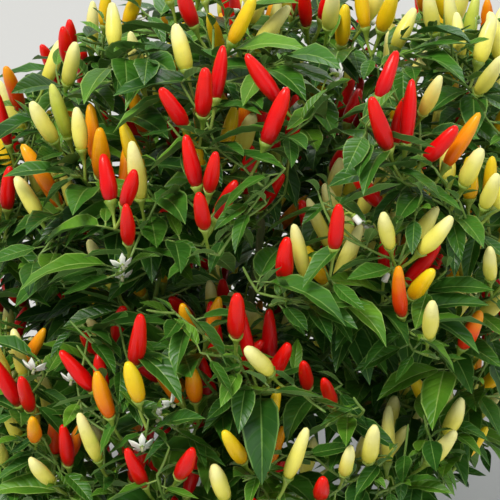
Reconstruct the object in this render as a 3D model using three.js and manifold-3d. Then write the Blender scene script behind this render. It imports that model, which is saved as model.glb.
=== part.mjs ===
// A bushy chilli pepper plant, rooted in level ground: one woody stem that forks into boughs, and thirteen
// masses of leafy twigs that carry upright fruit. Millimetres, +Z up, origin at the middle of the flat cut
// at ground level. The front of the plant faces -Y.
import * as THREE from 'three';
import { mergeVertices } from 'three/addons/utils/BufferGeometryUtils.js';
import Module from 'manifold-3d';

const wasm = await Module();
wasm.setup();

// Crown: a dome with full shoulders, whose middle stands a little to the plant's right, and further so with
// height. A dome of squareness 2 is round, and a higher number fills its shoulders.
const CROWN_SHIFT = 12;
const CROWN_LEAN = 0.12;
const CROWN_RADIUS = 250;
const CROWN_SQUARENESS = 2.6;
const CROWN_WIDEST_HEIGHT = 205;
const CROWN_TOP = 490;
const CROWN_FOOT = 36;
const TWIG_REACH = 0.86;
const LEAF_REACH = 0.985;

// Main stem, from the cut at ground level to its fork.
const STEM_HEIGHT = 96;
const STEM_LEAN = { x: 6, y: 3 };
const STEM_RADII = [6.6, 5];
const FLARE_RADIUS = 4.6;
const FLARE_SHARE = 0.2;

// Three spreading boughs and one upright leader leave the fork, and each spreading bough forks in two.
const MAIN_BOUGHS = 3;
const MAIN_REACH = 42;
const MAIN_HEIGHT = 152;
const MAIN_RADII = [3.9, 3.1];
const SIDE_REACH = 82;
const SIDE_HEIGHT = 186;
const SIDE_SPREAD = 30;
const SIDE_RADII = [3, 2.5];
const LEADER_HEIGHT = 282;
const LEADER_RADII = [3.6, 2.5];
const FIRST_BEARING = -45;

// Rings of foliage: how far the heart of each mass stands from the axis, how high, how far it is turned from
// the bough that carries it, how far every other one stands higher and further in, and how much the twigs lift
// towards the light.
const LOW_RING = { reach: 164, height: 166, turn: -15, stagger: 36, lift: 0.05 };
const HIGH_RING = { reach: 132, height: 314, turn: 15, stagger: -36, lift: 0.25 };
const TOP_HEART = { x: 38, y: 4, z: 400 };
const TOP_LIFT = 0.28;

// Each mass has a stem towards its heart, and twigs that fork from it by one rule.
const STEM_SHARE = 0.58;
const MASS_STEM_RADII = [2.3, 1.5];
const TWIG_LENGTHS = [47, 40];
const TWIG_RADIUS = 1.5;
const FIRST_FORK = 3;
const FORK_SPREAD = 40;
const ROOT_STEP = 3;

// Leaves: a petiole, and a blade that is folded along its midrib and droops to its tip.
const LEAF_LENGTHS = [62, 96];
const LEAF_WIDTH_SHARE = 0.37;
const LEAF_THICKNESS = 1.4;
const PETIOLE_SHARE = 0.18;
const THICKEST_SHARE = 0.2;
const WIDEST_SHARE = 0.36;
const LEAVES_AT_NODE = [2, 3, 2];

// Fruit: a green stalk that widens into the shoulder, then a blunt tapering body.
const FRUIT_LENGTHS = [30, 45];
const FRUIT_RADII = [5.4, 7];
const STALK_LENGTHS = [17, 25];
const STALK_RADIUS = 1.12;
const FRUIT_SIDES = 5;
const FRUIT_CHANCES = [0, 0.4, 1];

// Clearances: between two nodes, between two spaces, and round what a twig, fruit or leaf may not touch.
const NODE_GAP = 0.3;
const SPACE_GAP = 0.4;
const TWIG_CLEARANCE = 5;
const FRUIT_CLEARANCE = 0.6;
const LEAF_CLEARANCE = 1.6;
const GROUND_CLEARANCE = 20;
const MERGE = 1e-4;
const SLIVER = 0.02;

const UP = new THREE.Vector3(0, 0, 1);
const radians = THREE.MathUtils.degToRad;
const mix = THREE.MathUtils.lerp;
const heading = (bearing) => new THREE.Vector3(Math.cos(radians(bearing)), Math.sin(radians(bearing)), 0);
const placed = (reach, bearing, height) => heading(bearing).multiplyScalar(reach).setZ(height);
const beyond = (spot, way, distance) => spot.clone().addScaledVector(way, distance);

// A repeatable run of numbers from 0 to 1: each call gives the next one.
function draws(seed) {
  let state = Math.imul(seed, 2654435761) >>> 0;
  return () => {
    state = (Math.imul(state, 1664525) + 1013904223) >>> 0;
    return state / 4294967296;
  };
}

// The seed of sprout number `which` on something with this seed. Forks take the first numbers.
const FRUIT_SPROUT = 50;
const LEAF_SPROUTS = 80;
const sprout = (seed, which) => (seed * 31 + which * 7 + 11) % 1000003;

// Solids

function solidOf(geometry) {
  const bare = geometry.clone();
  bare.deleteAttribute('normal');
  bare.deleteAttribute('uv');
  const merged = mergeVertices(bare, MERGE);
  const corners = merged.index.array;
  const faces = [];
  for (let i = 0; i < corners.length; i += 3) {
    const [a, b, c] = [corners[i], corners[i + 1], corners[i + 2]];
    if (a !== b && b !== c && c !== a) faces.push(a, b, c);
  }
  return new wasm.Manifold(new wasm.Mesh({
    numProp: 3,
    vertProperties: merged.attributes.position.array,
    triVerts: new Uint32Array(faces),
  }));
}

function geometryOf(solid) {
  const mesh = solid.getMesh();
  const geometry = new THREE.BufferGeometry();
  geometry.setAttribute('position', new THREE.BufferAttribute(new Float32Array(mesh.vertProperties), 3));
  geometry.setIndex(new THREE.BufferAttribute(new Uint32Array(mesh.triVerts), 1));
  geometry.computeVertexNormals();
  return geometry;
}

// The largest body of a solid, so that a scrap left by a cut is dropped.
function largestBody(solid) {
  return solid.decompose().reduce((best, body) => (body.volume() > best.volume() ? body : best));
}

// Two directions square to `along`, the first as level as it can be.
function squareTo(along) {
  const level = new THREE.Vector3().crossVectors(along, UP);
  if (level.lengthSq() < 1e-6) level.set(1, 0, 0);
  level.normalize();
  return [level, new THREE.Vector3().crossVectors(level, along).normalize()];
}

// A tapering limb: a cylinder carried onto the curve. Crowding above 1 brings its rings closer at the foot.
function limbGeometry(curve, radiusAt, sides, rings, crowding = 1) {
  const geometry = new THREE.CylinderGeometry(1, 1, 1, sides, rings);
  const position = geometry.attributes.position;
  const [level] = squareTo(curve.getTangent(0.5));
  for (let i = 0; i < position.count; i += 1) {
    const share = (position.getY(i) + 0.5) ** crowding;
    const along = curve.getTangent(share);
    const first = beyond(level, along, -level.dot(along)).normalize();
    const second = new THREE.Vector3().crossVectors(along, first);
    const radius = radiusAt(share);
    const spot = curve.getPoint(share);
    spot.addScaledVector(second, position.getX(i) * radius).addScaledVector(first, position.getZ(i) * radius);
    position.setXYZ(i, spot.x, spot.y, spot.z);
  }
  return geometry;
}

// Limbs

// The solid of a limb, and the room that it and the gap round it take up.
function limbSolids(curve, radiusAt, sides, rings, crowding) {
  const past = curve.clone();
  past.v3 = beyond(curve.v3, curve.getTangent(1), NODE_GAP);
  return {
    solid: solidOf(limbGeometry(curve, radiusAt, sides, rings, crowding)),
    room: solidOf(limbGeometry(past, (share) => radiusAt(share) + NODE_GAP, sides, rings, crowding)),
  };
}

// How much a limb swells where it forks, and how it rounds over at its very tip.
function forkSwelling(share) {
  return 1 + 0.22 * THREE.MathUtils.smoothstep(share, 0.86, 0.96) - (0.5 * Math.max(0, share - 0.97)) / 0.03;
}

function makeMainStem() {
  const tip = new THREE.Vector3(STEM_LEAN.x, STEM_LEAN.y, STEM_HEIGHT);
  const curve = new THREE.CubicBezierCurve3(
    new THREE.Vector3(), new THREE.Vector3(0, 0, STEM_HEIGHT * 0.3), tip.clone().setZ(STEM_HEIGHT * 0.7), tip,
  );
  const radiusAt = (share) => mix(...STEM_RADII, share) * forkSwelling(share)
    + FLARE_RADIUS * Math.max(0, 1 - share / FLARE_SHARE) ** 2;
  return { name: 'main_stem', curve, tip, thickness: STEM_RADII[0], ...limbSolids(curve, radiusAt, 10, 9, 1.5) };
}

// A bough leaves its carrier in the direction `away`, curves up to `tip`, and is cut clear of the others.
function makeBough(name, carrier, away, tip, radii, others) {
  const start = beyond(carrier.tip, carrier.curve.getTangent(1), -carrier.thickness * 0.4);
  const reach = start.distanceTo(tip);
  const curve = new THREE.CubicBezierCurve3(start, beyond(start, away, reach * 0.35), beyond(tip, UP, -reach * 0.22), tip);
  const made = limbSolids(curve, (share) => mix(...radii, share) * forkSwelling(share), 6, 6);
  const solid = largestBody(others.reduce((rest, other) => rest.subtract(other.room), made.solid));
  return { name, curve, tip, thickness: radii[0], solid, room: made.room };
}

// The main stem and all its boughs, and the tips that foliage grows from.
function growLimbs() {
  const stem = makeMainStem();
  const limbs = [stem];
  const add = (...facts) => {
    limbs.push(makeBough(...facts, limbs));
    return limbs.at(-1);
  };
  const leaderTip = new THREE.Vector3(TOP_HEART.x * 0.7, TOP_HEART.y, LEADER_HEIGHT);
  const leader = add('leader', stem, UP, leaderTip, LEADER_RADII);
  const sideBoughs = [];
  for (let i = 0; i < MAIN_BOUGHS; i += 1) {
    const bearing = FIRST_BEARING + (i * 360) / MAIN_BOUGHS;
    const outwards = heading(bearing).addScaledVector(UP, 0.5).normalize();
    const bough = add(`main_bough_${i + 1}`, stem, outwards, placed(MAIN_REACH, bearing, MAIN_HEIGHT), MAIN_RADII);
    for (const side of [-1, 1]) {
      const turned = bearing + side * SIDE_SPREAD;
      const away = heading(bearing + side * SIDE_SPREAD * 1.6).addScaledVector(UP, 0.7).normalize();
      const name = `side_bough_${2 * i + (side + 3) / 2}`;
      const tip = placed(SIDE_REACH, turned, SIDE_HEIGHT);
      sideBoughs.push({ bearing: turned, bough: add(name, bough, away, tip, SIDE_RADII) });
    }
  }
  return { limbs, sideBoughs, leader };
}

// Spaces

// The side of the plant that a bearing points to, with the front at -90 degrees.
function sideOf(bearing) {
  const front = Math.sin(radians(bearing));
  const right = Math.cos(radians(bearing));
  const words = [];
  if (front < -0.4) words.push('front');
  if (front > 0.4) words.push('back');
  if (right > 0.4) words.push('right');
  if (right < -0.4) words.push('left');
  return words.join('_');
}

// How far to the right the crown's middle stands at a height.
const crownMiddle = (height) => CROWN_SHIFT + CROWN_LEAN * (height - CROWN_WIDEST_HEIGHT);

// Where each mass of foliage has its heart, and the bough that carries it.
function planMasses({ sideBoughs, leader }) {
  const masses = [];
  for (const [level, ring] of [['low', LOW_RING], ['high', HIGH_RING]]) {
    sideBoughs.forEach(({ bearing, bough }, i) => {
      const turned = bearing + ring.turn;
      const higher = i % 2 === 0 ? ring.stagger : -ring.stagger;
      const heart = placed(ring.reach - higher * 0.4, turned, ring.height + higher);
      heart.x += crownMiddle(heart.z);
      masses.push({ name: `${level}_foliage_${sideOf(turned)}`, heart, bough, lift: ring.lift });
    });
  }
  const heart = new THREE.Vector3(TOP_HEART.x, TOP_HEART.y, TOP_HEART.z);
  masses.push({ name: 'top_foliage', heart, bough: leader, lift: TOP_LIFT });
  return masses.map((mass, i) => ({ ...mass, seed: 131 + 37 * i, twigs: [], nodes: [], fruits: [], leaves: [] }));
}

// How far out a point is: 1 on the crown's dome, less inside it.
function crownShare(p) {
  const rise = p.z - CROWN_WIDEST_HEIGHT;
  const tall = rise > 0 ? CROWN_TOP - CROWN_WIDEST_HEIGHT : CROWN_WIDEST_HEIGHT - CROWN_FOOT;
  const level = Math.hypot((p.x - crownMiddle(p.z)) / CROWN_RADIUS, p.y / CROWN_RADIUS);
  return (level ** CROWN_SQUARENESS + Math.abs(rise / tall) ** CROWN_SQUARENESS) ** (1 / CROWN_SQUARENESS);
}

// Whether all the points are nearer to the heart of this mass than to any other, and inside the crown.
function inSpace(points, mass, masses, reach) {
  return points.every((p) => p.z > GROUND_CLEARANCE && crownShare(p) < reach && masses.every((other) => {
    const apart = mass.heart.distanceTo(other.heart);
    const nearer = p.distanceToSquared(other.heart) - p.distanceToSquared(mass.heart);
    return other === mass || nearer > 2 * SPACE_GAP * apart;
  }));
}

// A bone is a straight stretch of something solid, with a radius.
function distanceToBone(p, { from, to }) {
  const along = to.clone().sub(from);
  const share = THREE.MathUtils.clamp(p.clone().sub(from).dot(along) / along.lengthSq(), 0, 1);
  return p.distanceTo(beyond(from, along, share));
}

const isClear = (points, bones, clearance) => bones.every((bone) => (
  points.every((p) => distanceToBone(p, bone) > bone.radius + clearance)));

function bonesAlong(pointAt, stretches, radius) {
  return Array.from({ length: stretches }, (_, i) => (
    { from: pointAt(i / stretches), to: pointAt((i + 1) / stretches), radius }));
}

// Twigs

// The stem of a mass rises from the tip of its bough towards the heart of its space.
function growMassStem(mass) {
  const { curve, tip, thickness } = mass.bough;
  const away = curve.getTangent(1);
  const start = beyond(tip, away, -thickness * 0.4);
  const end = tip.clone().lerp(mass.heart, STEM_SHARE);
  const bend = beyond(start, away, start.distanceTo(end) * 0.45);
  mass.stem = new THREE.QuadraticBezierCurve3(start, bend, end);
  mass.twigs = [mass.stem.getPoints(3)];
}

// The ways in which new twigs leave a fork: spread evenly round the old one and lifted towards the light.
function forkDirections(along, count, turn, lift, next) {
  const [first, second] = squareTo(along);
  return Array.from({ length: count }, (_, i) => {
    const round = radians(turn + (i * 360) / count);
    const spread = radians(FORK_SPREAD * mix(0.75, 1.25, next()));
    const sideways = first.clone().multiplyScalar(Math.cos(round)).addScaledVector(second, Math.sin(round));
    return along.clone().multiplyScalar(Math.cos(spread)).addScaledVector(sideways, Math.sin(spread))
      .addScaledVector(UP, lift).normalize();
  });
}

// A twig ends at a node, where it forks: one new twig carries it on, the other leaves it just below. A twig is
// shortened, or skipped, to keep to its space.
function growTwig(mass, masses, limbs, twig, along, level, seed) {
  const next = draws(seed);
  const length = TWIG_LENGTHS[level] * mix(0.85, 1.15, next());
  const turn = next() * 360;
  const from = twig.at(-1);
  const fits = (end) => {
    const points = [0.3, 0.55, 0.8, 1].map((share) => from.clone().lerp(end, share));
    return inSpace(points, mass, masses, TWIG_REACH) && isClear(points, limbs, TWIG_CLEARANCE);
  };
  const tip = [1, 0.75, 0.5].map((share) => beyond(from, along, length * share)).find(fits);
  if (!tip) return;
  if (twig.length === 1) mass.twigs.push(twig);
  twig.push(tip);
  mass.nodes.push({ spot: tip, along, level: level + 1, turn, seed });
  if (level + 1 === TWIG_LENGTHS.length) return;
  forkDirections(along, 2, turn, mass.lift, next).forEach((way, i) => {
    const carrier = i === 0 ? twig : [beyond(tip, along, -ROOT_STEP)];
    growTwig(mass, masses, limbs, carrier, way, level + 1, sprout(seed, i));
  });
}

function growTwigs(mass, masses, limbs) {
  const spot = mass.stem.getPoint(1);
  const along = mass.stem.getTangent(1);
  const next = draws(mass.seed);
  const turn = next() * 360;
  mass.nodes.push({ spot, along, level: 0, turn, seed: mass.seed });
  forkDirections(along, FIRST_FORK, turn, mass.lift, next).forEach((way, i) => {
    const carrier = i === 0 ? mass.twigs[0] : [beyond(spot, along, -ROOT_STEP * 2 * i)];
    growTwig(mass, masses, limbs, carrier, way, 0, sprout(mass.seed, i));
  });
}

// Fruit

const outwardFrom = (spot) => new THREE.Vector3(spot.x - CROWN_SHIFT, spot.y, 0).normalize();

function fruitFrom(node, attempt) {
  const next = draws(sprout(node.seed, FRUIT_SPROUT));
  const length = mix(...FRUIT_LENGTHS, next());
  const radius = mix(...FRUIT_RADII, next());
  const stalk = mix(...STALK_LENGTHS, next());
  const sideways = heading(next() * 360 + attempt * 75);
  const tilt = mix(0.06, 0.42, next()) + 0.12 * attempt;
  const bend = mix(-0.03, 0.13, next());
  const along = beyond(UP, sideways, tilt).addScaledVector(outwardFrom(node.spot), 0.16).normalize();
  const side = beyond(sideways, along, -sideways.dot(along)).normalize();
  const root = beyond(node.spot, node.along, -ROOT_STEP * 3);
  return { root, along, side, stalk, length, radius, bend };
}

// A point on the fruit's middle line, at a distance from its root. The body bends away from the stalk.
function fruitPoint({ root, along, side, stalk, length, bend }, distance) {
  const past = Math.max(0, distance - stalk) / length;
  return beyond(root, along, distance).addScaledVector(side, -bend * length * past ** 2);
}

function fruitBones(fruit) {
  const { stalk, length, radius } = fruit;
  const bodyPoint = (share) => fruitPoint(fruit, stalk + mix(radius * 0.7, length - radius * 0.6, share));
  const stalkPoint = (share) => fruitPoint(fruit, stalk * mix(0.3, 1, share));
  return [...bonesAlong(bodyPoint, 2, radius * 0.95), ...bonesAlong(stalkPoint, 1, STALK_RADIUS)];
}

// A turned profile of stalk and body, carried onto the fruit's bent middle line.
function fruitGeometry(fruit) {
  const { stalk, length, radius } = fruit;
  const profile = [[0, 0], [STALK_RADIUS * 0.7, 0], [STALK_RADIUS, stalk - 2], [radius * 0.92, stalk + length * 0.1],
    [radius * 0.82, stalk + length * 0.66], [0, stalk + length]];
  const geometry = new THREE.LatheGeometry(profile.map(([x, y]) => new THREE.Vector2(x, y)), FRUIT_SIDES);
  const position = geometry.attributes.position;
  const other = new THREE.Vector3().crossVectors(fruit.along, fruit.side);
  for (let i = 0; i < position.count; i += 1) {
    const spot = fruitPoint(fruit, position.getY(i));
    spot.addScaledVector(other, position.getX(i)).addScaledVector(fruit.side, position.getZ(i));
    position.setXYZ(i, spot.x, spot.y, spot.z);
  }
  return geometry;
}

// Most nodes past the first carry one fruit, where it has room.
function sproutFruit(mass, masses, bones) {
  for (const node of mass.nodes.filter(({ level, seed }) => draws(seed + 5)() < FRUIT_CHANCES[level])) {
    const fits = (fruit) => {
      const body = [0.1, 0.3, 0.5, 0.7, 0.9, 1].map((share) => fruitPoint(fruit, fruit.stalk + fruit.length * share));
      const skin = body.slice(0, 5).flatMap((p) => [0, 90, 180, 270].map((b) => beyond(p, heading(b), fruit.radius)));
      return inSpace([...body, ...skin], mass, masses, 1) && isClear(body, bones, fruit.radius + FRUIT_CLEARANCE);
    };
    const fruit = [0, 1, 2].map((attempt) => fruitFrom(node, attempt)).find(fits);
    if (fruit) {
      mass.fruits.push(fruit);
      bones.push(...fruitBones(fruit));
    }
  }
}

// Leaves

function leafFrom(node, which, attempt) {
  const next = draws(sprout(node.seed, LEAF_SPROUTS + which));
  const length = mix(...LEAF_LENGTHS, next()) * (1.05 - 0.07 * node.level) * (1 - 0.11 * attempt);
  const turn = node.turn + which * (360 / LEAVES_AT_NODE[node.level]) + mix(-30, 30, next());
  const rise = mix(10, 50, next()) - attempt * 12;
  const droop = mix(55, 105, next()) - attempt * 10;
  const fold = mix(12, 34, next());
  const roll = mix(-22, 22, next());
  const width = length * LEAF_WIDTH_SHARE * mix(0.9, 1.1, next());
  const away = heading(turn + attempt * 47).addScaledVector(outwardFrom(node.spot), 0.55).setZ(0).normalize();
  const root = beyond(node.spot, node.along, -ROOT_STEP * (2 + 2 * which));
  return { root, away, length, width, rise, droop, fold, roll };
}

// The leaf's middle line and its own across and upward directions, at a share of its length.
function leafFrame({ root, away, length, rise, droop, roll }, share) {
  const first = radians(rise);
  const bend = -radians(droop);
  const pitch = first + bend * share;
  const forward = (length * (Math.sin(pitch) - Math.sin(first))) / bend;
  const lift = (length * (Math.cos(first) - Math.cos(pitch))) / bend;
  const level = new THREE.Vector3().crossVectors(away, UP);
  const upright = away.clone().multiplyScalar(-Math.sin(pitch)).addScaledVector(UP, Math.cos(pitch));
  const rolled = radians(roll) * share;
  return {
    spot: beyond(root, away, forward).addScaledVector(UP, lift),
    across: level.clone().multiplyScalar(Math.cos(rolled)).addScaledVector(upright, Math.sin(rolled)),
    upwards: upright.clone().multiplyScalar(Math.cos(rolled)).addScaledVector(level, -Math.sin(rolled)),
  };
}

// Half the blade's width at a share of the leaf's length: nothing on the petiole, widest a third of the way.
function halfWidth(leaf, share) {
  const blade = THREE.MathUtils.clamp((share - PETIOLE_SHARE) / (1 - PETIOLE_SHARE), 0, 1);
  const shape = (x) => x ** 0.6 * (1 - x) ** (0.6 / WIDEST_SHARE - 0.6);
  return (leaf.width / 2) * (shape(blade) / shape(WIDEST_SHARE));
}

// A point on the blade, from -1 at one edge to 1 at the other. The fold lifts both edges above the midrib.
function bladePoint(leaf, share, side) {
  const { spot, across, upwards } = leafFrame(leaf, share);
  const half = halfWidth(leaf, share);
  const fold = radians(leaf.fold);
  return spot.addScaledVector(across, side * half * Math.cos(fold))
    .addScaledVector(upwards, Math.abs(side) * half * Math.sin(fold));
}

const bladePoints = (leaf) => [0.3, 0.4, 0.5, 0.6, 0.7, 0.8, 0.9, 1].flatMap((share) => (
  [-1, -0.5, 0, 0.5, 1].map((side) => bladePoint(leaf, share, side))));

// A leaf of eight faces: a root, a tip, two edges where it is widest, and a midrib thickest past the petiole.
function leafGeometry(leaf) {
  const widest = mix(PETIOLE_SHARE, 1, WIDEST_SHARE);
  const geometry = new THREE.OctahedronGeometry(1);
  const position = geometry.attributes.position;
  for (let i = 0; i < position.count; i += 1) {
    const [side, end, face] = [position.getX(i), position.getY(i), position.getZ(i)].map(Math.round);
    const share = end === 0 ? (side === 0 ? THICKEST_SHARE : widest) : (end + 1) / 2;
    const spot = bladePoint(leaf, share, side);
    spot.addScaledVector(leafFrame(leaf, share).upwards, (face * LEAF_THICKNESS) / 2);
    position.setXYZ(i, spot.x, spot.y, spot.z);
  }
  return geometry;
}

function sproutLeaves(mass, masses, bones) {
  for (const node of mass.nodes) {
    for (let which = 0; which < LEAVES_AT_NODE[node.level]; which += 1) {
      const fits = (leaf) => {
        const points = bladePoints(leaf);
        return inSpace(points, mass, masses, LEAF_REACH) && isClear(points.slice(5), bones, LEAF_CLEARANCE);
      };
      const leaf = [0, 1, 2, 3, 4].map((attempt) => leafFrom(node, which, attempt)).find(fits);
      if (leaf) {
        mass.leaves.push(leaf);
        bones.push(...bonesAlong((share) => bladePoint(leaf, mix(0.3, 0.95, share), 0), 2, leaf.width * 0.12));
        bones.push(...bonesAlong((share) => bladePoint(leaf, 0.5, mix(-0.75, 0.75, share)), 2, leaf.width * 0.12));
      }
    }
  }
}

// Foliage

// The room that the stem of a mass and the gap round it take up.
const stemRoom = (mass) => solidOf(limbGeometry(mass.stem, () => (MASS_STEM_RADII[0] + NODE_GAP) * 1.1, 8, 4));

function twigSolid(twig, i) {
  const radiusAt = (share) => (i === 0 ? mix(...MASS_STEM_RADII, share) : TWIG_RADIUS);
  return solidOf(limbGeometry(new THREE.CatmullRomCurve3(twig), radiusAt, i === 0 ? 4 : 3, twig.length - 1));
}

// One fused mass, cut clear of the limbs and of the stem of a mass that grows from the same bough's tip.
function foliageSolid(mass, masses, limbs) {
  const whole = wasm.Manifold.union([
    ...mass.twigs.map(twigSolid),
    ...mass.fruits.map((fruit) => solidOf(fruitGeometry(fruit))),
    ...mass.leaves.map((leaf) => solidOf(leafGeometry(leaf))),
  ]);
  const twins = masses.slice(0, masses.indexOf(mass)).filter((other) => other.bough === mass.bough);
  const rooms = [...limbs.map((limb) => limb.room), ...twins.map(stemRoom)];
  return largestBody(rooms.reduce((rest, room) => rest.subtract(room), whole)).simplify(SLIVER);
}

// Plant

const skin = (color, roughness) => new THREE.MeshStandardMaterial({ color, roughness, metalness: 0 });

function named(name, solid, material) {
  const mesh = new THREE.Mesh(geometryOf(solid), material);
  mesh.name = name;
  return mesh;
}

function growPlant() {
  const plan = growLimbs();
  const masses = planMasses(plan);
  masses.forEach(growMassStem);
  const limbBones = plan.limbs.flatMap(({ curve, thickness }) => bonesAlong((s) => curve.getPoint(s), 8, thickness));
  const stemBones = (mass) => bonesAlong((share) => mass.stem.getPoint(share), 4, MASS_STEM_RADII[0]);
  for (const mass of masses) {
    const others = masses.filter((other) => other !== mass);
    growTwigs(mass, masses, [...limbBones, ...others.flatMap(stemBones)]);
  }
  const twigBones = masses.flatMap(({ twigs }) => twigs.flatMap((twig) => (
    twig.slice(1).map((to, i) => ({ from: twig[i], to, radius: TWIG_RADIUS })))));
  const bones = [...limbBones, ...masses.flatMap(stemBones), ...twigBones];
  masses.forEach((mass) => sproutFruit(mass, masses, bones));
  masses.forEach((mass) => sproutLeaves(mass, masses, bones));

  const bark = skin(0x6f6a3c, 0.75);
  const greenBark = skin(0x5d7a33, 0.6);
  const foliage = skin(0x2f6a26, 0.42);
  const plant = new THREE.Group();
  for (const { name, solid } of plan.limbs) plant.add(named(name, solid, name === 'main_stem' ? bark : greenBark));
  for (const mass of masses) plant.add(named(mass.name, foliageSolid(mass, masses, plan.limbs), foliage));
  return plant;
}

export default growPlant();
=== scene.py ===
import math
from types import SimpleNamespace as Thing

import bmesh
import bpy
import numpy as np
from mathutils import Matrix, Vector
from numpy.linalg import norm


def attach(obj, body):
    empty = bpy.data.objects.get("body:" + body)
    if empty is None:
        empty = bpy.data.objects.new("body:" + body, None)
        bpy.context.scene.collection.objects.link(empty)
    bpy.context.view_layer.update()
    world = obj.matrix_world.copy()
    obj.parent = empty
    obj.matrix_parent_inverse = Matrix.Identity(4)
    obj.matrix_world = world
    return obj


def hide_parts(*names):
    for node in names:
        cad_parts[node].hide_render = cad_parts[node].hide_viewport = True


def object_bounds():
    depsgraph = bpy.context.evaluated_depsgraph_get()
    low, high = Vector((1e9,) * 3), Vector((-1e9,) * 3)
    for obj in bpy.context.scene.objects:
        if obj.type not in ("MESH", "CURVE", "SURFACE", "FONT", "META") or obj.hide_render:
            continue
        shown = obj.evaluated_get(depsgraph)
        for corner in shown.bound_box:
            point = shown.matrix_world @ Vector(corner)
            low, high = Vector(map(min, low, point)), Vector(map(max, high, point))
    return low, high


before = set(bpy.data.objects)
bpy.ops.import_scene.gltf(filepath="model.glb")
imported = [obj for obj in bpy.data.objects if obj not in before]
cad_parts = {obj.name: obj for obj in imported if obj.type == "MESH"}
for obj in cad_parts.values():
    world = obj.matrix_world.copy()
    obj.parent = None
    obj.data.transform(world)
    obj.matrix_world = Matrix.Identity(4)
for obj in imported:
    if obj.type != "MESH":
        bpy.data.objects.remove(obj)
first_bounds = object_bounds()

MM = 0.001
UP = np.array([0.0, 0.0, 1.0])

# Crown
CROWN_SHIFT = 12
CROWN_LEAN = 0.12
CROWN_RADIUS = 250
CROWN_SQUARENESS = 2.6
CROWN_WIDEST_HEIGHT = 205
CROWN_TOP = 490
CROWN_FOOT = 36
TWIG_REACH = 0.86
FINE_TWIG_REACH = 0.92
LEAF_REACH = 0.985

# Limbs, and how far each one's foot is sunk into its carrier, as a share of the carrier's radius
LIMB_SINK = 0.4
STEM_HEIGHT = 96
STEM_LEAN = (6, 3)
LIMB_BENDS = (0.35, 0.22)
STEM_RADII = (6.6, 5)
FLARE_RADIUS = 4.6
FLARE_SHARE = 0.2
MAIN_BOUGHS = 3
MAIN_REACH = 42
MAIN_HEIGHT = 152
MAIN_RADII = (3.9, 3.1)
SIDE_REACH = 82
SIDE_HEIGHT = 186
SIDE_SPREAD = 30
SIDE_RADII = (3, 2.5)
LEADER_HEIGHT = 282
LEADER_RADII = (3.6, 2.5)
FIRST_BEARING = -45

# Masses: reach, height and turn of each ring of hearts, how far every other one stands higher, and the
# lift of its twigs. The higher hearts stand further in.
RINGS = {"low": (164, 166, -15, 36, 0.05), "high": (132, 314, 15, -36, 0.25)}
HIGHER_IS_INNER = 0.4
TOP_HEART = (38, 4, 400)
TOP_LIFT = 0.28
FIRST_SEED, SEED_STEP = 131, 37
STEM_SHARE = 0.58
MASS_STEM_RADII = (2.3, 1.5)
TWIG_LENGTHS = (47, 40)
TWIG_RADIUS = 1.5
FIRST_FORK = 3
FORK_SPREAD = 40
ROOT_STEP = 3
FINE_TWIG_LENGTH = 27

# Leaves
LEAF_LENGTHS = (62, 96)
LEAF_WIDTH_SHARE = 0.37
PETIOLE_SHARE = 0.18
WIDEST_SHARE = 0.36
LEAVES_AT_NODE = (2, 3, 2, 4)
LEAF_TRIES = 5
LEAF_RISES = (10, 50)
LEAF_DROOPS = (55, 105)
FINER_LEAF_STIFFER = 30
LEAF_FOLDS = (12, 34)
LEAF_ROLLS = (-22, 22)
BLADE_SHARES, BLADE_SIDES = (a.ravel() for a in np.meshgrid(
    [0.3, 0.4, 0.5, 0.6, 0.7, 0.8, 0.9, 1], [-1, -0.5, 0, 0.5, 1], indexing="ij"))

# Fruit
FRUIT_LENGTHS = (30, 45)
FRUIT_RADII = (5.4, 7)
STALK_LENGTHS = (17, 25)
STALK_RADIUS = 1.12
FRUIT_TRIES = 3
FRUIT_LEAN = 0.16
FRUIT_TILTS = (0.06, 0.42)
FRUIT_BENDS = (-0.03, 0.13)
FRUIT_CHANCES = (0, 0.4, 1, 0.68)
FRUIT_SPROUT = 50
LEAF_SPROUTS = 80

# Finer growth, by level of node
FINE_TWIGS = (2, 2, 2, 1)
FINE_TWIG_CLEARANCE = 2.0
FINE_TWIG_RADIUS = 0.9
FINE_SPROUT = 20
TIP_LEVEL = 3
OUTER_SHOOTS = 220
OUTER_SHARE = 0.84
OUTER_GAP = 34
OUTER_STEP = 36
OUTER_SPROUT = 40
OUTER_RISES = (-0.8, 0.95)
OUTER_SEED, INNER_SEED = 900, 500
INNER_SPROUT = 60
FINER_FRUIT_CLEARANCE = 2.2
INNER_TWIGS = {"limbs": ((1, 0.8), (18, 0.2), *((3, 0.4), (7, 0.3), (7, 0.3)) * 3), "spray_stem": (5, 0.2)}
GOLDEN_TURN = 137.5
MORE_FRUIT = {1: (0, 0.85, 0.9, 0.34), 2: (0, 0.5, 0.55, 0.08)}
FRUIT_BY_HEIGHT = ((150, 250, 330, 400), (1.4, 1.1, 0.8, 0.55))
FINER_FRUIT_LEAN = 0.28
FINER_TRIES = 6
MORE_LEAVES = (3, 3, 4, 3)
INNER_LEAVES = 3
INNER_SHARE = 0.66
FINER_LEAF_CLEARANCE = 0.7
TIP_LEAF = 12
TIP_LEAF_LENGTHS = (16, 32)
TIP_LEAF_RISES = (30, 65)
TIP_LEAF_DROOPS = (10, 60)
TIP_LEAF_FOLDS = (25, 50)
TIP_LEAF_WIDTH_SHARE = 0.36
TIP_LEAF_SHARE = 0.55
BOX_MARGIN = 4
BLOSSOM_CHANCE = 0.1
BLOSSOM_SPROUT = 70
BLOSSOM_STALKS = (14, 20)
BLOSSOM_CLEARANCE = 2
FLOWER_SHARE = 0.5

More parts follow.
